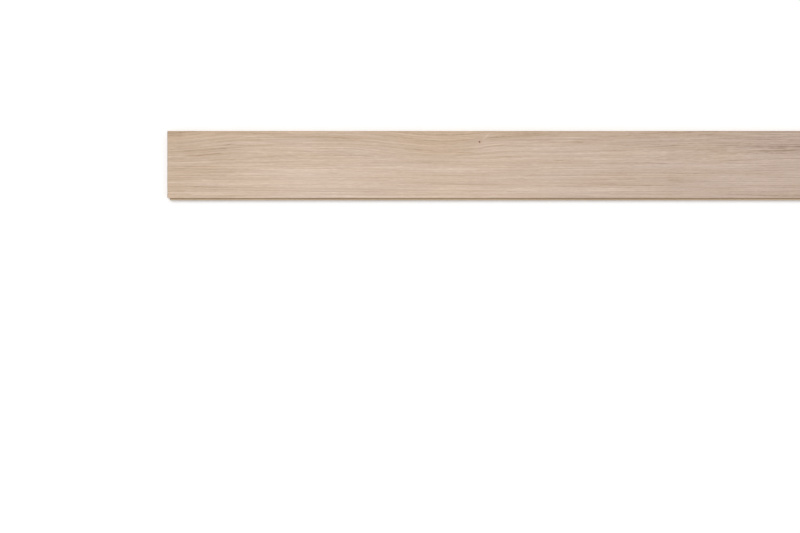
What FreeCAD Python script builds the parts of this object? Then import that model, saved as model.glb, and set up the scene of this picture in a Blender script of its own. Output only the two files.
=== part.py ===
"""Wide plank floorboard: one sawn oak board, tongued and grooved on its long edges and on its ends.

The board lies on its back, face up. X runs along the grain, Y across the board, Z up.
The origin is in the middle of the underside, below the middle of the face.
The groove is on the +Y edge and the -X end, the tongue on the -Y edge and the +X end.
All sizes are in millimetres.
"""

import FreeCAD
import Part
import math
import os

# Face and thickness
face_length = 1900.0  # between the top edges of the two ends
face_width = 190.0  # between the top edges of the two long edges
thickness = 20.0
long_bevel = 0.5  # leg of the 45 degree bevel along the long edges of the face
end_bevel = 0.8  # leg of the 45 degree bevel along the ends of the face

# Tongue, the same on the long edge and the end
tongue_thickness = 6.0
tongue_reach = 6.0  # how far it stands out past the top edge
tongue_nose = 1.5  # radius of its two outer corners
face_to_tongue = 7.5  # depth of wood above the tongue, which may be sanded

# Groove, which takes a tongue of that size
tongue_play = 0.1  # between tongue and groove, above and below
tip_clearance = 1.0  # between the tongue's tip and the floor of the groove
groove_corner = 0.8  # radius in the floor of the groove
lead_in = 0.5  # leg of the bevels at the groove's mouth
lower_lip_setback = 0.6  # the lip below the groove stops short, so that the faces close first

# Nail groove, in the corner above the long tongue, where a hidden nail goes in
nail_groove_radius = 0.9

# Relief grooves along the back, which let a wide board lie flat
relief_width = 6.0
relief_depth = 3.0
relief_corner = 1.2  # radius in the floor of a relief groove
relief_pitch = 28.0
relief_edge_land = 18.0  # least flat width left beside each long edge

# Cutters run this far past what they cut
overrun = 2.0

tongue_top = thickness - face_to_tongue
tongue_bottom = tongue_top - tongue_thickness
groove_depth = tongue_reach + tip_clearance
groove_top = tongue_top + tongue_play
groove_bottom = tongue_bottom - tongue_play


def along_width(u, z):
    """A point of the long-edge section, which runs from the groove edge (+Y) to the tongue edge (-Y)."""
    return FreeCAD.Vector(0, -u, z)


def along_length(u, z):
    """A point of the end section, which runs from the groove end (-X) to the tongue end (+X)."""
    return FreeCAD.Vector(u, 0, z)


def rounded_corner(before, corner, after, radius):
    """Start, middle and end of the arc that rounds a corner between two straight runs."""
    back = (before - corner).normalize()
    ahead = (after - corner).normalize()
    half_angle = back.getAngle(ahead) / 2
    inward = (back + ahead).normalize()
    centre = corner + inward * (radius / math.sin(half_angle))
    tangent = radius / math.tan(half_angle)
    return corner + back * tangent, centre - inward * radius, corner + ahead * tangent


def outline_face(corners, place):
    """Flat face inside the corners (u, z, radius), with an arc wherever the radius isn't zero."""
    points = [place(u, z) for u, z, radius in corners]
    rounds = []
    for i, (u, z, radius) in enumerate(corners):
        if radius > 0:
            rounds.append(rounded_corner(points[i - 1], points[i], points[(i + 1) % len(points)], radius))
        else:
            rounds.append((points[i],))
    edges = []
    for i, arc in enumerate(rounds):
        edges.append(Part.LineSegment(rounds[i - 1][-1], arc[0]).toShape())
        if len(arc) == 3:
            edges.append(Part.Arc(*arc).toShape())
    return Part.Face(Part.Wire(edges))


def matched_section(face_size, bevel):
    """Corners of a section with the groove at its low end, the tongue at its high end and a bevelled face."""
    edge = face_size / 2
    lip = lower_lip_setback - edge
    nose = min(tongue_nose, 0.49 * tongue_thickness)
    return [
        (lip, 0, 0),
        (edge, 0, 0),
        (edge, tongue_bottom, 0),
        (edge + tongue_reach, tongue_bottom, nose),
        (edge + tongue_reach, tongue_top, nose),
        (edge, tongue_top, 0),
        (edge, thickness - bevel, 0),
        (edge - bevel, thickness, 0),
        (bevel - edge, thickness, 0),
        (-edge, thickness - bevel, 0),
        (-edge, groove_top + lead_in, 0),
        (lead_in - edge, groove_top, 0),
        (groove_depth - edge, groove_top, groove_corner),
        (groove_depth - edge, groove_bottom, groove_corner),
        (lip + lead_in, groove_bottom, 0),
        (lip, groove_bottom - lead_in, 0),
    ]


def through(face, direction, reach):
    """Prism of a flat face that runs past the board by reach to both sides."""
    start = face.translated(direction * -reach)
    return start.extrude(direction * (2 * reach))


def moulded_long_edges():
    """The board as it leaves the moulder: the long-edge section, longer than the finished board."""
    section = outline_face(matched_section(face_width, long_bevel), along_width)
    return through(section, FreeCAD.Vector(1, 0, 0), face_length / 2 + tongue_reach + overrun)


def profiled_ends():
    """What the end cutters leave standing: the end section, wider than the board."""
    section = outline_face(matched_section(face_length, end_bevel), along_length)
    return through(section, FreeCAD.Vector(0, 1, 0), face_width / 2 + tongue_reach + overrun)


def relief_centres():
    """Middles of the relief grooves, in pairs on both sides of the board's centre line."""
    outermost = face_width / 2 - lower_lip_setback - relief_edge_land - relief_width / 2
    pairs = math.floor(outermost / relief_pitch + 0.5)
    return [side * (pair + 0.5) * relief_pitch for pair in range(pairs) for side in (-1, 1)]


def relief_cutter(centre):
    """Round-cornered channel cut along the back."""
    half = relief_width / 2
    corner = min(relief_corner, 0.49 * relief_width)
    channel = outline_face(
        [
            (centre - half, -overrun, 0),
            (centre + half, -overrun, 0),
            (centre + half, relief_depth, corner),
            (centre - half, relief_depth, corner),
        ],
        along_width,
    )
    return through(channel, FreeCAD.Vector(1, 0, 0), face_length / 2 + tongue_reach + overrun)


def nail_groove_cutter():
    """Round rod along the corner where the upper shoulder meets the long tongue."""
    reach = face_length / 2 + tongue_reach + overrun
    start = along_width(face_width / 2, tongue_top) - FreeCAD.Vector(reach, 0, 0)
    return Part.makeCylinder(nail_groove_radius, 2 * reach, start, FreeCAD.Vector(1, 0, 0))


def build_floorboard():
    relief_cutters = [relief_cutter(centre) for centre in relief_centres()]
    moulded = moulded_long_edges().cut(relief_cutters)
    matched = moulded.common(profiled_ends()).removeSplitter()
    return matched.cut(nail_groove_cutter()).Solids[0]


floorboard = build_floorboard()
os.makedirs("parts", exist_ok=True)
floorboard.exportStep("parts/floorboard.step")
print("floorboard valid:", floorboard.isValid(), "faces:", len(floorboard.Faces))
print("volume in litres:", round(floorboard.Volume / 1e6, 4))
print("box in mm:", floorboard.BoundBox)
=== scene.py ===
"""Looks of a wide plank floorboard: one pale oak board, oiled on its face and raw on its edges and back.

Everything is in metres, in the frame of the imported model: X along the grain, Y across the board, Z up.
"""

import math

import bmesh
import bpy
import numpy as np
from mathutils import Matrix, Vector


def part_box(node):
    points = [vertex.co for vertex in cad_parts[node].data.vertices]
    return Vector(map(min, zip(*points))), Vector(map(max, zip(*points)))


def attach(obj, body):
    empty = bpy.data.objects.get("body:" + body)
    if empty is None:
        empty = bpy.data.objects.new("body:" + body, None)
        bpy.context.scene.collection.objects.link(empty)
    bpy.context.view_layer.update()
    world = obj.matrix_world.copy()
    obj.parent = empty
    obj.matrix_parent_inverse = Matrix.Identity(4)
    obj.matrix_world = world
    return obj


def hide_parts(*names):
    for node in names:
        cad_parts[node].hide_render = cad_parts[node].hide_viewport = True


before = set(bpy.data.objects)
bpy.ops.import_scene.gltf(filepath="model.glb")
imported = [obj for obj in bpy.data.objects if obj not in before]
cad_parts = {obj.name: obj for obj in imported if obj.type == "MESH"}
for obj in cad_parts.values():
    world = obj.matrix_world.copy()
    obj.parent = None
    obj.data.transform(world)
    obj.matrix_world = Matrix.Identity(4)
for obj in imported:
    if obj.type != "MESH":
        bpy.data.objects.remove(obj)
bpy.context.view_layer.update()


# The floorboard
# One sawn oak board, nailed down through its tongue. A moulder cuts its long profile of tongue, groove and
# back relief, a tenoner cuts such a joint across its ends, and its face is planed, brushed and oiled.
# Here the long profile is swept along the board, and the profile of the ends cuts it to length.

MM = 0.001
low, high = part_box("floorboard")
touching = 2e-6  # points nearer than this are one point
section_slack = 0.02 * MM  # how far the profiles may be from those of the model
beyond = 10.0 * MM  # the end cutters reach this far past the wood
side_cut = low.x + beyond  # where the long profile is read, clear of the joint at the left end
end_cut = high.y - 15.0 * MM  # where the profile of the ends is read, clear of every long groove


def walked_along(edges, start):
    """The corners of a profile's edges, in order from one of its two ends."""
    corners = [start]
    left = set(edges)
    while True:
        step = next((e for e in corners[-1].link_edges if e in left), None)
        if step is None:
            return corners
        left.remove(step)
        corners.append(step.other_vert(corners[-1]))


def main_corners(path, slack):
    """The corners of a profile that keep it within that distance of all its points."""
    run, away = path[-1] - path[0], path - path[0]
    gap = np.abs(run[0] * away[:, 1] - run[1] * away[:, 0]) / np.linalg.norm(run)
    far = gap.argmax()
    if gap[far] <= slack:
        return path[[0, -1]]
    before, after = main_corners(path[: far + 1], slack), main_corners(path[far:], slack)
    return np.concatenate((before[:-1], after))


def profile(axis, place):
    """The profile at that place on that axis, from one edge of the face, round the back, to the other."""
    model = bmesh.new()
    model.from_mesh(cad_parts["floorboard"].data)
    bmesh.ops.remove_doubles(model, verts=model.verts[:], dist=touching)
    top = [f for f in model.faces if all(v.co.z > high.z - touching for v in f.verts)]
    bmesh.ops.delete(model, geom=top, context="FACES")
    normal = [0, 0, 0]
    normal[axis] = 1
    found = bmesh.ops.bisect_plane(
        model,
        geom=[*model.faces, *model.edges, *model.verts],
        dist=touching / 4,
        plane_co=[place * n for n in normal],
        plane_no=normal,
    )
    edges = [e for e in found["geom_cut"] if isinstance(e, bmesh.types.BMEdge)]
    # It starts at the upper edge of the face, or at the right end
    head = max((v for e in edges for v in e.verts), key=lambda v: (round(v.co.z, 6), v.co[1 - axis]))
    path = np.array([(v.co[1 - axis], v.co.z) for v in walked_along(edges, head)])
    model.free()
    return main_corners(path, section_slack)


side_path = profile(0, side_cut)  # from the upper edge of the face to the lower one
end_path = profile(1, end_cut)  # from the right end of the face to the left one
flat_upper, flat_lower = side_path[0, 0], side_path[-1, 0]
flat_right, flat_left = end_path[0, 0], end_path[-1, 0]
# The one long run in the profile of the ends is the back, between the right end and the left one
back_starts = np.flatnonzero(np.abs(np.diff(end_path[:, 0])) > (high.x - low.x) / 2)[0] + 1
right_path, left_path = end_path[:back_starts], end_path[back_starts:][::-1]

# Pin knot, where a twig was: its place from the left end and from the upper edge, and its radius, in mm
knot_along, knot_down = 883.0, 31.0
knot_radius = 2.75
knot_x, knot_y = low.x + knot_along * MM, high.y - knot_down * MM

slice_step = 9.5 * MM  # along the board
knot_step = 1.5 * MM  # closer together near the knot
knot_reach = 32.0 * MM  # this far to both sides of it
row_step = 1.0 * MM  # across the face, fine enough for the brushed lines
slices = np.linspace(flat_left, flat_right, round((flat_right - flat_left) / slice_step) + 1)
slices = slices[np.abs(slices - knot_x) > knot_reach + knot_step]
knot_slices = knot_x + np.arange(-knot_reach, knot_reach + knot_step / 2, knot_step)
slices = np.sort(np.concatenate((slices, knot_slices)))
rows = np.linspace(flat_lower, flat_upper, round((flat_upper - flat_lower) / row_step) + 1)


def milled(name, loop, axis, places):
    """A closed piece of one profile, a loop of places (u, z), with corners at those places on that axis."""
    count, last = len(loop), len(places) - 1
    points = [(p, u, z) if axis == 0 else (u, p, z) for p in places for u, z in loop.tolist()]
    ring = [(i, (i + 1) % count, (i + 1) % count + count, i + count) for i in range(count)]
    sides = [[corner + step * count for corner in quad] for step in range(last) for quad in ring]
    caps = [[*range(count)], [*range(last * count, (last + 1) * count)]]
    mesh = bpy.data.meshes.new(name)
    mesh.from_pydata(points, [], sides + caps)
    shape = bmesh.new()
    shape.from_mesh(mesh)
    bmesh.ops.recalc_face_normals(shape, faces=shape.faces[:])
    shape.to_mesh(mesh)
    shape.free()
    piece = bpy.data.objects.new(name, mesh)
    bpy.context.scene.collection.objects.link(piece)
    return piece


def matched_end(path, inner, outer):
    """Mesh of one end of the board: the long profile, where the profile of that end leaves it standing."""
    face_rows = np.stack((rows[1:-1], np.full(len(rows) - 2, high.z)), 1)
    wood = milled("end_wood", np.concatenate((side_path, face_rows)), 0, (inner, outer))
    bevel = (path[0] - path[1]) / np.linalg.norm(path[0] - path[1])
    inside = 2 * inner - outer  # well past the inner cut
    around = [
        path[-1] - (0, beyond),
        (inside, low.z - beyond),
        (inside, high.z + beyond),
        path[0] + bevel * beyond,
    ]
    columns = (low.y - beyond, *rows, high.y + beyond)
    cutter = milled("end_cutter", np.concatenate((path[1:], around)), 1, columns)
    matched = wood.modifiers.new("matched", "BOOLEAN")
    matched.operation = "INTERSECT"
    matched.solver = "EXACT"
    matched.object = cutter
    graph = bpy.context.evaluated_depsgraph_get()
    mesh = bpy.data.meshes.new_from_object(wood.evaluated_get(graph))
    for used in (wood, cutter):
        bpy.data.meshes.remove(used.data)
    return mesh


# The two ends, open on their face and where they meet the rest
solid = bmesh.new()
for path, inner, outer in (
    (left_path, slices[1], low.x - beyond),
    (right_path, slices[-2], high.x + beyond),
):
    end_mesh = matched_end(path, inner, outer)
    solid.from_mesh(end_mesh)
    bpy.data.meshes.remove(end_mesh)
bmesh.ops.remove_doubles(solid, verts=solid.verts[:], dist=touching)
flats = [f for f in solid.faces if all(v.co.z > high.z - touching for v in f.verts)]
meetings = [
    f
    for f in solid.faces
    if all(min(abs(v.co.x - slices[1]), abs(v.co.x - slices[-2])) < touching for v in f.verts)
]
bmesh.ops.delete(solid, geom=flats + meetings, context="FACES")

# How the wood grew, all in mm. Each swell is where along the board the lines of the grain start to rise
# towards the upper edge, where that ends, and by how much. A fall is a negative rise.
swells = [
    (-10, 220, 17.0),
    (500, 790, -21.0),
    (790, 970, 13.0),
    (970, 1240, 3.0),
    (1250, 1640, 10.0),
]
swell_reach = (45.0, 100.0)  # they fade between these distances from the upper edge
ripples = [(83.0, 21.0, 0.7), (37.0, -11.0, 0.4)]  # small waves: pace along, pace across and height
knot_bulge = (13.0, 8.0)  # the grain runs round the knot within about this, along and across
knot_push = 0.75  # share of a line's distance from the knot that is due to the knot's push
knot_fade = 20.0  # depth over which that fades
pith_beyond = 22.0  # the pith is past the upper edge by this much
pith_below = 105.0  # and this far under the face
ring_width = 5.2
seasons = [(6.3, 0.0, 2.1), (14.7, 1.0, 3.0)]  # good and bad years: pace, start and height


def eased(x):
    """0 up to 0 and 1 from 1, with a smooth rise between them."""
    x = np.clip(x, 0, 1)
    return x * x * (3 - 2 * x)


def grain_place(points):
    """Places in mm as the fibres run: along the board, across it from line to line, and down."""
    along = (points[:, 0] - low.x) / MM
    down = (high.y - points[:, 1]) / MM
    depth = (high.z - points[:, 2]) / MM
    rise = sum(height * eased((along - start) / (end - start)) for start, end, height in swells)
    fade_start, fade_end = swell_reach
    across = down + rise * (1 - eased((down - fade_start) / (fade_end - fade_start)))
    across = across + sum(height * np.sin(along / pace + across / turn) for pace, turn, height in ripples)
    aside = ((along - knot_along) / knot_bulge[0]) ** 2 + ((down - knot_down) / knot_bulge[1]) ** 2
    across -= knot_push * (down - knot_down) * np.exp(-aside) * np.exp(-depth / knot_fade)
    return np.stack((along, across, depth), 1)


def ring_count(grain):
    """How many growth rings lie between the pith and each place."""
    growth = np.hypot(grain[:, 1] + pith_beyond, pith_below - grain[:, 2])
    gained = sum(height * np.sin(growth / pace + start) for pace, start, height in seasons)
    return (growth + gained) / ring_width


def ray_place(grain):
    """How far round the pith each place is, in mm, measured at the rings that touch the face."""
    return pith_below * np.arctan2(grain[:, 1] + pith_beyond, pith_below - grain[:, 2])


# Streaks that stand out on this board, in mm. Each has its start and end along the board,
# its distances from the upper edge there, its width, and how dark it is, or how pale if negative.
streaks = [
    # dark, rising from the left end
    (0, 60, 109, 108, 3.0, 0.5),
    (0, 60, 168, 168, 3.0, 0.35),
    (0, 70, 75, 74, 2.6, 0.5),
    (0, 105, 48, 41, 4.5, 0.6),
    (0, 105, 87, 84.5, 2.6, 0.5),
    (0, 225, 61, 44, 4.5, 0.55),
    (30, 175, 99, 101, 5.0, 0.3),
    (44, 175, 158, 159, 3.0, 0.4),
    (45, 178, 72.5, 62, 3.6, 1.2),
    (125, 330, 40, 41.5, 3.2, 1.0),
    (137, 620, 75, 67, 2.6, 0.4),
    # dark, along the upper edge
    (270, 400, 34, 34, 5.0, 0.6),
    (280, 465, 15, 16.5, 5.0, 0.45),
    (455, 570, 18.5, 25, 4.0, 0.55),
    (660, 815, 22, 33, 3.4, 0.3),
    (750, 900, 17, 15, 3.0, 0.45),
    (870, 1140, 14, 16, 30.0, 0.2),
    (1000, 1230, 30.5, 32, 9.0, 0.7),
    (1111, 1255, 33, 33, 12.0, 0.25),
    (1320, 1400, 22, 17, 6.0, 0.25),
    (1490, 1560, 10, 10, 5.0, 0.30),
    (1600, 1725, 7.5, 7.5, 4.5, 0.20),
    # dark, falling and rising again about the knot
    (520, 670, 37.5, 47, 3.0, 0.45),
    (560, 720, 84, 86, 4.0, 0.5),
    (620, 820, 83, 88, 7.0, 0.35),
    (645, 765, 49, 60, 6.0, 0.3),
    (700, 860, 88, 92, 34.0, 0.2),
    (720, 900, 63, 62, 5.0, 0.45),
    (729, 840, 75, 75, 2.6, 0.45),
    (740, 840, 43, 46, 4.0, 0.45),
    (760, 890, 54, 49, 3.0, 0.5),
    (818, 872, 61, 61, 3.0, 0.65),
    (886, 965, 47, 39, 3.6, 0.8),
    # dark, in the middle of the board
    (915, 990, 72.5, 72.5, 3.0, 0.55),
    (940, 1060, 71, 70, 3.0, 0.4),
    (960, 1110, 84, 88, 6.0, 0.4),
    (985, 1225, 70, 67, 2.4, 0.3),
    (1000, 1220, 79, 80, 6.0, 0.55),
    (1040, 1170, 91, 92, 5.0, 0.4),
    (1050, 1225, 84, 87, 6.0, 0.35),
    (1086, 1128, 84, 84, 3.2, 0.7),
    # dark, level, in the lower half
    (320, 470, 152, 151, 5.0, 0.4),
    (430, 720, 107, 110, 4.5, 0.5),
    (480, 580, 157, 155, 5.0, 0.35),
    (620, 740, 120, 121, 4.5, 0.45),
    (630, 740, 150, 150, 4.0, 0.4),
    (665, 1015, 152, 151, 2.8, 0.45),
    (735, 805, 120, 125, 3.0, 0.4),
    (1010, 1066, 125, 125, 3.0, 0.5),
    (1040, 1066, 155, 156, 3.0, 0.6),
    (1095, 1535, 153, 155, 3.0, 0.45),
    (1112, 1442, 121, 124, 4.0, 0.4),
    (1180, 1350, 164, 160, 4.0, 0.35),
    (1380, 1600, 157, 155, 4.0, 0.4),
    (1410, 1452, 140, 140, 3.0, 0.36),
    (1505, 1710, 119, 119, 4.0, 0.32),
    (1530, 1900, 156, 157, 8.0, 0.32),
    (1580, 1720, 123, 122, 4.0, 0.4),
    # dark, rising towards the right end
    (1215, 1440, 40, 33.5, 4.0, 0.7),
    (1325, 1530, 87, 84, 5.0, 0.55),
    (1348, 1460, 48, 41, 3.2, 0.4),
    (1385, 1595, 31, 30, 3.0, 0.24),
    (1400, 1512, 64, 61, 3.0, 0.32),
    (1420, 1560, 43, 40, 3.4, 0.5),
    (1500, 1640, 77, 75, 5.0, 0.35),
    (1505, 1605, 61, 56, 3.0, 0.32),
    (1550, 1690, 84, 82, 3.0, 0.32),
    (1590, 1720, 56, 55.5, 2.8, 0.32),
    (1630, 1800, 56.5, 55, 3.0, 0.9),
    (1670, 1850, 86, 86, 5.0, 0.45),
    (1685, 1800, 44.5, 44, 2.6, 0.24),
    (1740, 1900, 45, 43, 2.6, 0.28),
    # pale, in the upper half
    (190, 285, 21, 9, 4.0, -0.5),
    (275, 400, 73, 72, 4.0, -0.5),
    (330, 620, 54, 58, 12.0, -0.6),
    (670, 790, 21, 28, 4.0, -0.7),
    (675, 785, 6, 10, 4.5, -0.65),
    (840, 920, 24, 18, 4.0, -0.5),
    (886, 945, 51, 45, 3.2, -0.5),
    (888, 914, 29, 3, 8.0, -0.5),
    (930, 1010, 26, 20, 4.0, -0.35),
    (990, 1150, 23, 22, 3.5, -0.5),
    (1120, 1208, 21, 17, 5.0, -0.4),
    (1390, 1490, 27, 27, 3.5, -0.5),
    (1450, 1610, 25, 22, 3.5, -0.6),
    (1540, 1740, 52, 47, 7.0, -0.6),
    (1700, 1850, 24, 24, 4.0, -0.5),
    # pale, in the lower half
    (147, 270, 126, 120, 4.0, -0.4),
    (150, 930, 186, 185, 4.0, -0.4),
    (350, 620, 105, 99, 3.4, -0.5),
    (950, 1058, 167, 167, 4.6, -0.45),
    (1190, 1340, 99, 98, 5.0, -0.5),
    (1220, 1450, 140, 140, 11.0, -0.35),
    (1460, 1676, 98, 97, 3.6, -0.45),
]
streak_taper = 0.3  # share of its length over which a streak comes and goes
streak_waver = 0.12  # share of its width by which a streak wavers
waver_pace = 19.0  # in mm along the board


def streak_tone(points):
    """Sum of the streaks at each place of the face, 0 where there is none."""
    along = (points[:, 0] - low.x) / MM
    down = (high.y - points[:, 1]) / MM
    tone = np.zeros(len(points))
    for start, end, down_start, down_end, width, strength in streaks:
        share = (along - start) / (end - start)
        here = np.flatnonzero((share > 0) & (share < 1))
        share = share[here]
        middle_line = down_start + (down_end - down_start) * share
        middle_line += streak_waver * width * np.sin(along[here] / waver_pace + down_start)
        ends = eased(share / streak_taper) * eased((1 - share) / streak_taper)
        tone[here] += strength * ends * np.exp(-(((down[here] - middle_line) / (width / 2)) ** 2))
    return tone


# The brush takes a little more of the soft early wood and of the dark streaks than of the rest
brushed_ring = 0.05 * MM
brushed_streak = 0.07 * MM
knot_hollow = 0.4 * MM
brush_margin = 2.5 * MM  # the face stays whole beside its bevels
early_share = 0.35  # of a ring, soft and full of pores

grid_x, grid_y = (a.ravel() for a in np.meshgrid(slices, rows, indexing="ij"))
face_points = np.stack((grid_x, grid_y, np.full(grid_x.size, high.z)), 1)
early_wood = 1 - eased(ring_count(grain_place(face_points)) % 1 / early_share)
edge_gap = np.minimum.reduce(
    (grid_x - flat_left, flat_right - grid_x, grid_y - flat_lower, flat_upper - grid_y)
)
knot_distance = np.hypot(grid_x - knot_x, grid_y - knot_y) / (knot_radius * MM)
hollow = brushed_ring * early_wood + brushed_streak * np.clip(streak_tone(face_points), 0, 1)
hollow += knot_hollow * np.exp(-(knot_distance**2))
face_points[:, 2] -= hollow * eased(edge_gap / brush_margin)

swept = slices[1:-1]
side_points = np.column_stack((np.repeat(swept, len(side_path)), np.tile(side_path, (len(swept), 1))))
for points, lines in ((face_points, len(slices)), (side_points, len(swept))):
    corner = np.arange(len(points)).reshape(lines, -1)
    quads = np.stack((corner[:-1, :-1], corner[1:, :-1], corner[1:, 1:], corner[:-1, 1:]), -1)
    surface = bpy.data.meshes.new("swept_surface")
    surface.from_pydata(points.tolist(), [], quads.reshape(-1, 4).tolist())
    solid.from_mesh(surface)
    bpy.data.meshes.remove(surface)
open_corners = [v for v in solid.verts if v.is_boundary]
bmesh.ops.remove_doubles(solid, verts=open_corners, dist=touching)
bmesh.ops.recalc_face_normals(solid, faces=solid.faces[:])
open_edges = sum(not e.is_manifold for e in solid.edges)
if open_edges:
    raise ValueError(f"the board's mesh has {open_edges} open edges")

crisp = math.radians(30)  # edges sharper than this stay crisp
board_mesh = bpy.data.meshes.new("oak_floorboard")
solid.to_mesh(board_mesh)
solid.free()
board = bpy.data.objects.new("oak_floorboard", board_mesh)
bpy.context.scene.collection.objects.link(board)
board_mesh.polygons.foreach_set("use_smooth", np.ones(len(board_mesh.polygons), bool))
board_mesh.set_sharp_from_angle(angle=crisp)


def listed(items, name, kind, width):
    """What all corners or faces of the mesh have under that name, one row each."""
    values = np.empty(len(items) * width, kind)
    items.foreach_get(name, values)
    return values.reshape(-1, width)


# What the wood is like at each corner of the mesh
face_depth = 1.5 * MM  # the oiled face and its bevels lie within this of the top
corners = listed(board_mesh.vertices, "co", np.float32, 3).astype(float)
grain = grain_place(corners)
on_face = corners[:, 2] > high.z - face_depth
board_mesh.attributes.new("grain_mm", "FLOAT_VECTOR", "POINT").data.foreach_set("vector", grain.ravel())
for name, values in (
    ("rings", ring_count(grain)),
    ("ray_mm", ray_place(grain)),
    ("streaks", np.where(on_face, streak_tone(corners), 0)),
):
    board_mesh.attributes.new(name, "FLOAT", "POINT").data.foreach_set("value", values)

# Finishes: 0 the oiled face with its bevels, 1 the raw moulded edges and back, 2 the raw sawn ends
oiled_finish, raw_finish, sawn_finish = 0, 1, 2
turned = 0.5  # a surface faces a way when its normal has more than this of it
middles = listed(board_mesh.polygons, "center", np.float32, 3).astype(float)
normals = listed(board_mesh.polygons, "normal", np.float32, 3)
sawn = np.abs(normals[:, 0]) > turned
oiled = ~sawn & (normals[:, 2] > turned) & (middles[:, 2] > high.z - face_depth)
finishes = np.where(oiled, oiled_finish, np.where(sawn, sawn_finish, raw_finish))
board_mesh.polygons.foreach_set("material_index", finishes.astype(np.int32))


def nearest_run(path, places):
    """Which straight run of a profile is nearest to each place, and how far away it is."""
    nearest, nearest_gap = np.zeros(len(places), int), np.full(len(places), np.inf)
    for number, (start, run) in enumerate(zip(path, np.diff(path, axis=0))):
        share = np.clip((places - start) @ run / (run @ run), 0, 1)
        gap = np.linalg.norm(places - start - share[:, None] * run, axis=1)
        nearest[gap < nearest_gap] = number
        nearest_gap = np.minimum(gap, nearest_gap)
    return nearest, nearest_gap


def unrolled(path, runs, places):
    """How far down a profile each place is, on the run of it that is given, as a share of the whole."""
    steps = np.diff(path, axis=0)
    lengths = np.linalg.norm(steps, axis=1)
    reached = np.concatenate(([0], np.cumsum(lengths)[:-1]))
    down = reached[runs] + ((places - path[runs]) * (steps / lengths[:, None])[runs]).sum(1)
    return down / lengths.sum()


# Flat map of the board, for its colours: the face, above it the edges and the back, and at the top the ends
face_strip, side_strip, end_strip = (0.004, 0.52), (0.53, 0.86), (0.87, 0.996)
whole_width, left_half, right_half = (0.003, 0.997), (0.004, 0.49), (0.51, 0.996)
level = 0.9  # least upward part of the normal of the level face
level_depth = 1.0 * MM  # which lies within this of the top
on_flat = (normals[:, 2] > level) & (middles[:, 2] > high.z - level_depth)
side_runs, side_gap = nearest_run(side_path, middles[:, 1:])
on_side = ~on_flat & (side_gap < 2 * section_slack)
corner_counts = listed(board_mesh.polygons, "loop_total", np.int32, 1)[:, 0]
loop_corner = listed(board_mesh.loops, "vertex_index", np.int32, 1)[:, 0]
loop_face = np.repeat(np.arange(len(middles)), corner_counts)
loop_place = corners[loop_corner]
uv = np.empty((len(loop_place), 2))
uv[:, 0] = np.interp(loop_place[:, 0], (low.x, high.x), whole_width)
uv[:, 1] = np.interp(loop_place[:, 1], (flat_lower, flat_upper), face_strip)
loops = on_side[loop_face]
side_down = unrolled(side_path, side_runs[loop_face[loops]], loop_place[loops][:, 1:])
uv[loops, 1] = np.interp(side_down, (0, 1), side_strip)
for path, half, here in (
    (left_path, left_half, middles[:, 0] < 0),
    (right_path, right_half, middles[:, 0] > 0),
):
    loops = (here & ~on_flat & ~on_side)[loop_face]
    end_runs, _ = nearest_run(path, middles[:, ::2])
    end_down = unrolled(path, end_runs[loop_face[loops]], loop_place[loops][:, ::2])
    uv[loops, 0] = np.interp(loop_place[loops][:, 1], (low.y, high.y), half)
    uv[loops, 1] = np.interp(end_down, (0, 1), end_strip)
board_mesh.uv_layers.new(name="OFBake").uv.foreach_set("vector", uv.astype(np.float32).ravel())


def linear(hex_colour):
    """An sRGB colour such as "CAB4A1" as linear red, green and blue, with alpha 1."""
    shares = [int(hex_colour[i : i + 2], 16) / 255 for i in (0, 2, 4)]
    return [s / 12.92 if s <= 0.04045 else ((s + 0.055) / 1.055) ** 2.4 for s in shares] + [1.0]


def add(tree, kind, inputs=None, **settings):
    """Adds a node with its settings. Each input is a value or the output that it is linked to."""
    made = tree.nodes.new(kind)
    for name, value in settings.items():
        setattr(made, name, value)
    for name, value in (inputs or {}).items():
        if isinstance(value, bpy.types.NodeSocket):
            tree.links.new(value, made.inputs[name])
        else:
            made.inputs[name].default_value = value
    return made


def new_finish(name):
    """A material with no nodes yet."""
    finish = bpy.data.materials.new(name)
    finish.use_nodes = True
    finish.node_tree.nodes.clear()
    return finish


def weigh(tree, base, *traits):
    """A base, plus each trait times the weight that it has in the sum."""
    for trait, weight in traits:
        terms = {0: trait, 1: weight, 2: base}
        base = add(tree, "ShaderNodeMath", terms, operation="MULTIPLY_ADD").outputs[0]
    return base


# Length along the grain and thickness across it of what shows in oak, in mm. Real fibres, hairs and pores
# are thinner, pores about 0.3 mm. That is too fine to show, so they are drawn as coarse as they need.
oak_sizes = {
    "fibres": (330.0, 2.3),
    "hairs": (24.0, 1.1),
    "bands": (750.0, 19.0),
    "patches": (150.0, 6.0),
    "drift": (330.0, 55.0),
    "pores": (14.0, 0.55),
    "flecks": (140.0, 1.8),
}


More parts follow.
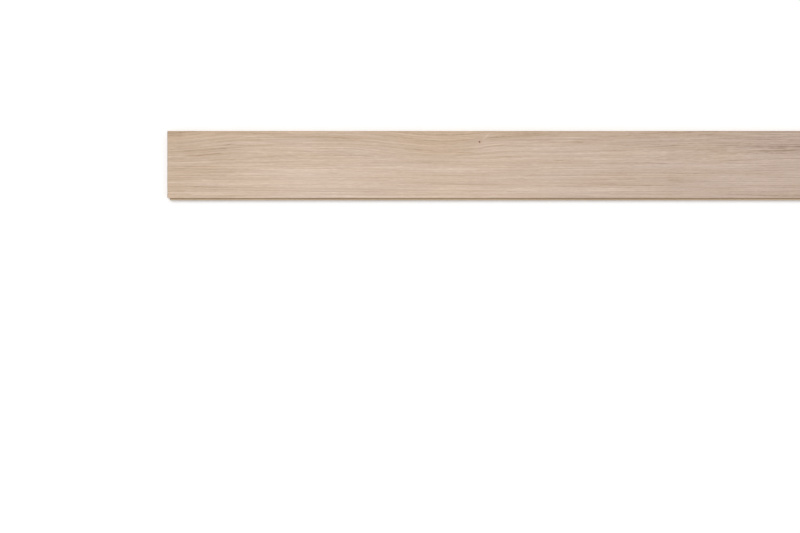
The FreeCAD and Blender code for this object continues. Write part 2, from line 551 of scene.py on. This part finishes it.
def oak_figure(tree):
    """Traits of oak wherever it is cut, each about 0 or from 0 to 1, and the depth below its face in mm."""
    grain = add(tree, "ShaderNodeAttribute", attribute_name="grain_mm").outputs["Vector"]
    rings = add(tree, "ShaderNodeAttribute", attribute_name="rings").outputs["Fac"]
    places = {}
    for name, (length, thickness) in oak_sizes.items():
        counts = {0: grain, 1: (1 / length, 1 / thickness, 1 / thickness)}
        places[name] = add(tree, "ShaderNodeVectorMath", counts, operation="MULTIPLY").outputs[0]
    figure = {}
    for name, detail in (("fibres", 4.0), ("hairs", 3.0), ("bands", 1.0), ("patches", 1.0), ("drift", 1.0)):
        spread = {"Vector": places[name], "Scale": 1.0, "Detail": detail, "Roughness": 0.6}
        noise = add(tree, "ShaderNodeTexNoise", spread).outputs["Fac"]
        figure[name] = add(tree, "ShaderNodeMath", {0: noise, 1: 0.5}, operation="SUBTRACT").outputs[0]
    # Each ring starts with its early wood, and some years show more than others
    part = add(tree, "ShaderNodeMath", {0: rings}, operation="FRACT").outputs[0]
    year = add(tree, "ShaderNodeMath", {0: rings}, operation="FLOOR").outputs[0]
    luck = add(tree, "ShaderNodeTexWhiteNoise", {"W": year}, noise_dimensions="1D").outputs["Value"]
    early = add(
        tree,
        "ShaderNodeMapRange",
        {"Value": part, "From Min": early_share, "From Max": 0.0},
        interpolation_type="SMOOTHSTEP",
    ).outputs["Result"]
    ring_strength = weigh(tree, 0.35, (luck, 0.8), (figure["patches"], 1.6))
    figure["rings"] = add(
        tree, "ShaderNodeMath", {0: early, 1: ring_strength}, operation="MULTIPLY", use_clamp=True
    ).outputs[0]
    # A pore is a tube that the saw cuts open over some 10 mm, and most are in the early wood
    tubes = {"Vector": places["pores"], "Scale": 1.0, "Randomness": 1.0}
    tube_gap = add(tree, "ShaderNodeTexVoronoi", tubes).outputs["Distance"]
    walls = {"Value": tube_gap, "From Min": 0.38, "From Max": 0.2}
    in_tube = add(tree, "ShaderNodeMapRange", walls).outputs["Result"]
    room = weigh(tree, 0.25, (early, 0.75))
    figure["pores"] = add(tree, "ShaderNodeMath", {0: in_tube, 1: room}, operation="MULTIPLY").outputs[0]
    # Flecks are short lines of one tone each, where a bundle of fibres or a ray is cut along
    bundles = {"Vector": places["flecks"], "Scale": 1.0, "Randomness": 0.9}
    bundle_colour = add(tree, "ShaderNodeTexVoronoi", bundles).outputs["Color"]
    bundle_tone = add(tree, "ShaderNodeSeparateColor", {"Color": bundle_colour}).outputs["Red"]
    figure["flecks"] = add(tree, "ShaderNodeMath", {0: bundle_tone, 1: 0.5}, operation="SUBTRACT").outputs[0]
    figure["depth"] = add(tree, "ShaderNodeSeparateXYZ", {"Vector": grain}).outputs["Z"]
    return figure


def oak_colour(tree, tone, stops):
    """The colour of each tone of the wood, from its darkest pores at 0 to its palest fibres at 1."""
    ramp = add(tree, "ShaderNodeValToRGB", {"Fac": tone})
    for place, _ in stops[1:-1]:
        ramp.color_ramp.elements.new(place)
    for element, (place, colour) in zip(ramp.color_ramp.elements, stops, strict=True):
        element.position = place
        element.color = linear(colour)
    return ramp.outputs["Color"]


def shade(tree, colour, height, height_mm, **shader):
    """A finished surface of that colour, with fine relief of that height."""
    relief = {"Height": height, "Distance": height_mm * MM, "Strength": 1.0}
    normal = add(tree, "ShaderNodeBump", relief).outputs["Normal"]
    wood = {"Base Color": colour, "Normal": normal, **shader}
    surface = add(tree, "ShaderNodeBsdfPrincipled", wood).outputs["BSDF"]
    add(tree, "ShaderNodeOutputMaterial", {"Surface": surface})


# Oak, planed, brushed and oiled: pale and matt, with fine darker and paler lines along the grain, a
# yellower band at its upper edge, and a slow change from straw at the left to a pinker, deeper tone at the
# right. The oil in its pores has an IOR of 1.48 and leaves it a little smoother than bare wood.
face_oak = new_finish("oak_brushed_matt_oiled")
tree = face_oak.node_tree
oak = oak_figure(tree)
streak = add(tree, "ShaderNodeAttribute", attribute_name="streaks").outputs["Fac"]
place = add(tree, "ShaderNodeTexCoord").outputs["Object"]
ways = add(tree, "ShaderNodeSeparateXYZ", {"Vector": place}).outputs
along, across = ways["X"], ways["Y"]

# A cloud of deeper tan lies to the left of the knot
cloud_middle = (low.x + 765 * MM, high.y - 40 * MM, high.z)
cloud_length, cloud_width = 170 * MM, 80 * MM  # from its middle to its rim
cloud_place = add(tree, "ShaderNodeVectorMath", {0: place, 1: cloud_middle}, operation="SUBTRACT").outputs[0]
cloud_counts = {0: cloud_place, 1: (1 / cloud_length, 1 / cloud_width, 1 / cloud_width)}
cloud_place = add(tree, "ShaderNodeVectorMath", cloud_counts, operation="MULTIPLY").outputs[0]
cloud_gap = add(tree, "ShaderNodeVectorMath", {0: cloud_place}, operation="LENGTH").outputs["Value"]

# Parts of the face with a tone of their own, and painted shade on its bevels: what each is measured by,
# where it begins and is whole
parts = {}
for name, measure, begins, whole, blend in (
    ("towards_right", along, low.x + 600 * MM, low.x + 2000 * MM, "SMOOTHSTEP"),
    ("by_left_end", along, low.x + 350 * MM, low.x, "SMOOTHSTEP"),
    ("by_upper_edge", across, high.y - 35 * MM, high.y, "SMOOTHSTEP"),
    ("in_upper_half", across, high.y - 115 * MM, high.y - 45 * MM, "SMOOTHSTEP"),
    ("in_cloud", cloud_gap, 1.0, 0.2, "SMOOTHSTEP"),
    # Painted shade: the face darkens from 0.13 mm below its top and is fully dark past 0.25 mm, on its
    # bevels and in the knot's hollow
    ("bevel_painted_shade", oak["depth"], 0.13, 0.25, "LINEAR"),
    ("pale_lines", oak["hairs"], 0.05, 0.25, "LINEAR"),
):
    limits = {"Value": measure, "From Min": begins, "From Max": whole}
    parts[name] = add(tree, "ShaderNodeMapRange", limits, interpolation_type=blend).outputs["Result"]
tone = weigh(
    tree,
    0.551,
    (oak["fibres"], 0.64),
    (oak["hairs"], 0.61),
    (parts["pale_lines"], 0.06),
    (oak["flecks"], 0.21),
    (oak["bands"], 0.40),
    (oak["drift"], 0.15),
    (oak["rings"], -0.09),
    (oak["pores"], -0.16),
    (streak, -0.27),
    (parts["towards_right"], -0.205),
    (parts["by_left_end"], -0.11),
    (parts["by_upper_edge"], -0.10),
    (parts["in_upper_half"], -0.045),
    (parts["in_cloud"], -0.065),
    (parts["bevel_painted_shade"], -0.22),
)
straw = oak_colour(
    tree,
    tone,
    [(0.0, "8C7258"), (0.25, "BAA085"), (0.5, "CBB29A"), (0.75, "DFC8B1"), (1.0, "EFDDC8")],
)
rose = oak_colour(
    tree,
    tone,
    [(0.0, "8B705F"), (0.25, "B6A090"), (0.5, "C7B2A3"), (0.75, "DAC7B9"), (1.0, "ECDACD")],
)
rosiness = weigh(
    tree,
    0.39,
    (oak["drift"], 0.9),
    (oak["patches"], 0.4),
    (streak, -0.3),
    (parts["towards_right"], 0.62),
    (parts["by_left_end"], -0.22),
    (parts["by_upper_edge"], -0.30),
    (parts["in_cloud"], -0.30),
)
rosiness = add(tree, "ShaderNodeClamp", {"Value": rosiness}).outputs["Result"]
under, over, mixed = 6, 7, 2  # a mix node's two colours, and the output that mixes them
mixture = {"Factor": rosiness, under: straw, over: rose}
colour = add(tree, "ShaderNodeMix", mixture, data_type="RGBA").outputs[mixed]

# The knot has a dark, ragged middle in a ring of brown bark, and the wood about it is a little redder.
# Each layer is how far it reaches, over how much of that it fades, both in radii, and how much it covers.
knot_layers = [
    (4.0, 3.5, 0.45, "C4A390"),
    (1.15, 0.5, 0.9, "8A6C56"),
    (0.72, 0.3, 0.9, "503B2A"),
]
ragged_size = 1.6 * MM
ragged_depth = 1.2  # in radii, from the furthest out to the furthest in
rags = {"Vector": place, "Scale": 1 / ragged_size, "Detail": 2.0}
ragged = add(tree, "ShaderNodeTexNoise", rags).outputs["Fac"]
ends_of_gap = {0: place, 1: (knot_x, knot_y, high.z)}
knot_gap = add(tree, "ShaderNodeVectorMath", ends_of_gap, operation="DISTANCE").outputs["Value"]
knot_gap = weigh(tree, -ragged_depth / 2, (knot_gap, 1 / (knot_radius * MM)), (ragged, ragged_depth))
for reach, fade, cover, knot_colour in knot_layers:
    limits = {"Value": knot_gap, "From Min": reach, "From Max": reach - fade, "To Max": cover}
    share = add(tree, "ShaderNodeMapRange", limits, interpolation_type="SMOOTHSTEP").outputs["Result"]
    mixture = {"Factor": share, under: colour, over: linear(knot_colour)}
    colour = add(tree, "ShaderNodeMix", mixture, data_type="RGBA").outputs[mixed]
height = weigh(tree, 0.0, (oak["hairs"], 0.6), (oak["fibres"], 0.6), (oak["pores"], -1.0))
roughness = weigh(tree, 0.55, (oak["fibres"], -0.15), (oak["pores"], 0.12))
shade(tree, colour, height, 0.05, Roughness=roughness, IOR=1.48)

# Oak, moulded and left raw: dull and a little yellower than the oiled face, with plainer growth rings.
# Bare wood has the IOR of its cellulose, 1.53, and hardly any shine.
raw_oak = new_finish("oak_moulded_raw")
tree = raw_oak.node_tree
oak = oak_figure(tree)
tone = weigh(
    tree,
    0.5,
    (oak["fibres"], 0.6),
    (oak["hairs"], 0.3),
    (oak["bands"], 0.4),
    (oak["rings"], -0.25),
    (oak["pores"], -0.2),
)
colour = oak_colour(
    tree,
    tone,
    [(0.0, "8C7157"), (0.28, "B59B7E"), (0.5, "C9B195"), (0.72, "D5BFA3"), (1.0, "E2CFB4")],
)
shade(tree, colour, oak["hairs"], 0.05, Roughness=0.8, IOR=1.53)

# Oak end grain, sawn and left raw: much darker, as the open pores drink the light, with growth rings
# across it, pale rays from the pith outwards, and a darker band of painted shade along its top, by the face.
end_oak = new_finish("oak_end_grain_sawn")
tree = end_oak.node_tree
oak = oak_figure(tree)
ray_spacing = 1.4  # in mm, round the pith
around_pith = add(tree, "ShaderNodeAttribute", attribute_name="ray_mm").outputs["Fac"]
ray_waves = {"W": around_pith, "Scale": 1 / ray_spacing, "Detail": 2.0}
rays = add(tree, "ShaderNodeTexNoise", ray_waves, noise_dimensions="1D").outputs["Fac"]
rays = add(tree, "ShaderNodeMapRange", {"Value": rays, "From Min": 0.55, "From Max": 0.75}).outputs["Result"]
# Painted shade: each end is darkened from its top down to 0.8 mm below the face, fading out by 1.6 mm
painted_shade_depth = {"Value": oak["depth"], "From Min": 1.6, "From Max": 0.8}
painted_end_shade = add(tree, "ShaderNodeMapRange", painted_shade_depth).outputs["Result"]
tone = weigh(
    tree,
    0.47,
    (oak["bands"], 0.5),
    (oak["hairs"], 0.4),
    (oak["rings"], -0.35),
    (oak["pores"], -0.35),
    (rays, 0.25),
    (painted_end_shade, -0.3),
)
colour = oak_colour(
    tree,
    tone,
    [(0.0, "5F4630"), (0.28, "8A6D50"), (0.5, "A4876A"), (0.72, "B4977A"), (1.0, "C2A480")],
)
shade(tree, colour, oak["hairs"], 0.08, Roughness=0.9, IOR=1.53)

for finish in (face_oak, raw_oak, end_oak):
    board_mesh.materials.append(finish)
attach(board, "root")
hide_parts("floorboard")


# The floor
# A plain studio floor of white matt paper, just under the board. It takes the board's shadow, and a faint
# glow that only the camera sees makes the rest of it as white as the room.

floor_half = 60.0  # half its width, far past every view
floor_gap = 0.3 * MM
floor_glow = 0.22
floor_z = low.z - floor_gap
floor_mesh = bpy.data.meshes.new("studio_floor")
floor_corners = [
    (x * floor_half, y * floor_half, floor_z) for x, y in ((-1, -1), (1, -1), (1, 1), (-1, 1))
]
floor_mesh.from_pydata(floor_corners, [], [(0, 1, 2, 3)])
floor = bpy.data.objects.new("studio_floor", floor_mesh)
bpy.context.scene.collection.objects.link(floor)


def in_sight(tree):
    """1 for what the camera sees, in a gloss or through glass too, and 0 for what only sends light."""
    ray = add(tree, "ShaderNodeLightPath").outputs
    seen = ray["Is Camera Ray"]
    for kind in ("Is Glossy Ray", "Is Transmission Ray"):
        seen = add(tree, "ShaderNodeMath", {0: seen, 1: ray[kind]}, operation="MAXIMUM").outputs[0]
    return seen


# White paper, matt: it scatters light evenly and has no shine
white_floor = new_finish("studio_floor_white_matt")
tree = white_floor.node_tree
glow_strength = weigh(tree, 0.0, (in_sight(tree), floor_glow))
paper = add(tree, "ShaderNodeBsdfDiffuse", {"Color": linear("ECECEC")}).outputs[0]
glow = add(tree, "ShaderNodeEmission", {"Strength": glow_strength}).outputs[0]
both = add(tree, "ShaderNodeAddShader", {0: paper, 1: glow}).outputs[0]
add(tree, "ShaderNodeOutputMaterial", {"Surface": both})
floor_mesh.materials.append(white_floor)


# The light
# A white room all round, and one wide soft lamp high on the left. Together they light a level face once
# over, so that a colour shows about as it is written.

room_share = 0.62
lamp_share = 0.38
lamp_lean = math.radians(28)  # from straight above
lamp_turn = math.radians(125)  # towards the upper left of the board
lamp_spread = math.radians(35)  # how wide it looks from the board, which keeps its shadows soft

world = bpy.data.worlds.new("white_room")
bpy.context.scene.world = world
world.use_nodes = True
tree = world.node_tree
tree.nodes.clear()
strength = weigh(tree, room_share, (in_sight(tree), 1.0 - room_share))
room = add(tree, "ShaderNodeBackground", {"Color": linear("FFFFFF"), "Strength": strength}).outputs[0]
add(tree, "ShaderNodeOutputWorld", {"Surface": room})

lamp_data = bpy.data.lights.new("soft_lamp", "SUN")
lamp_data.energy = lamp_share * math.pi / math.cos(lamp_lean)
lamp_data.angle = lamp_spread
lamp = bpy.data.objects.new("soft_lamp", lamp_data)
lamp.rotation_euler = (lamp_lean, 0.0, lamp_turn + math.pi / 2)
bpy.context.scene.collection.objects.link(lamp)


# The camera
# It looks straight down, as the photograph does, and frames what the photograph frames, so the board's
# right end is past the edge of the picture.

picture_width, picture_height = 800, 533  # in pixels, as are the next three
board_left, board_upper = 167.4, 130.9
face_across = 67.15
pixel = 2 * high.y / face_across  # the origin is under the middle of the face

camera_data = bpy.data.cameras.new("camera")
camera_data.lens = 100.0
camera_data.sensor_width = 36.0
camera_data.clip_end = 100.0
camera = bpy.data.objects.new("camera", camera_data)
camera.location = (
    low.x + (picture_width / 2 - board_left) * pixel,
    high.y - (picture_height / 2 - board_upper) * pixel,
    high.z + picture_width * pixel * camera_data.lens / camera_data.sensor_width,
)
bpy.context.scene.collection.objects.link(camera)
bpy.context.scene.camera = camera
bpy.context.scene.view_settings.view_transform = "Standard"
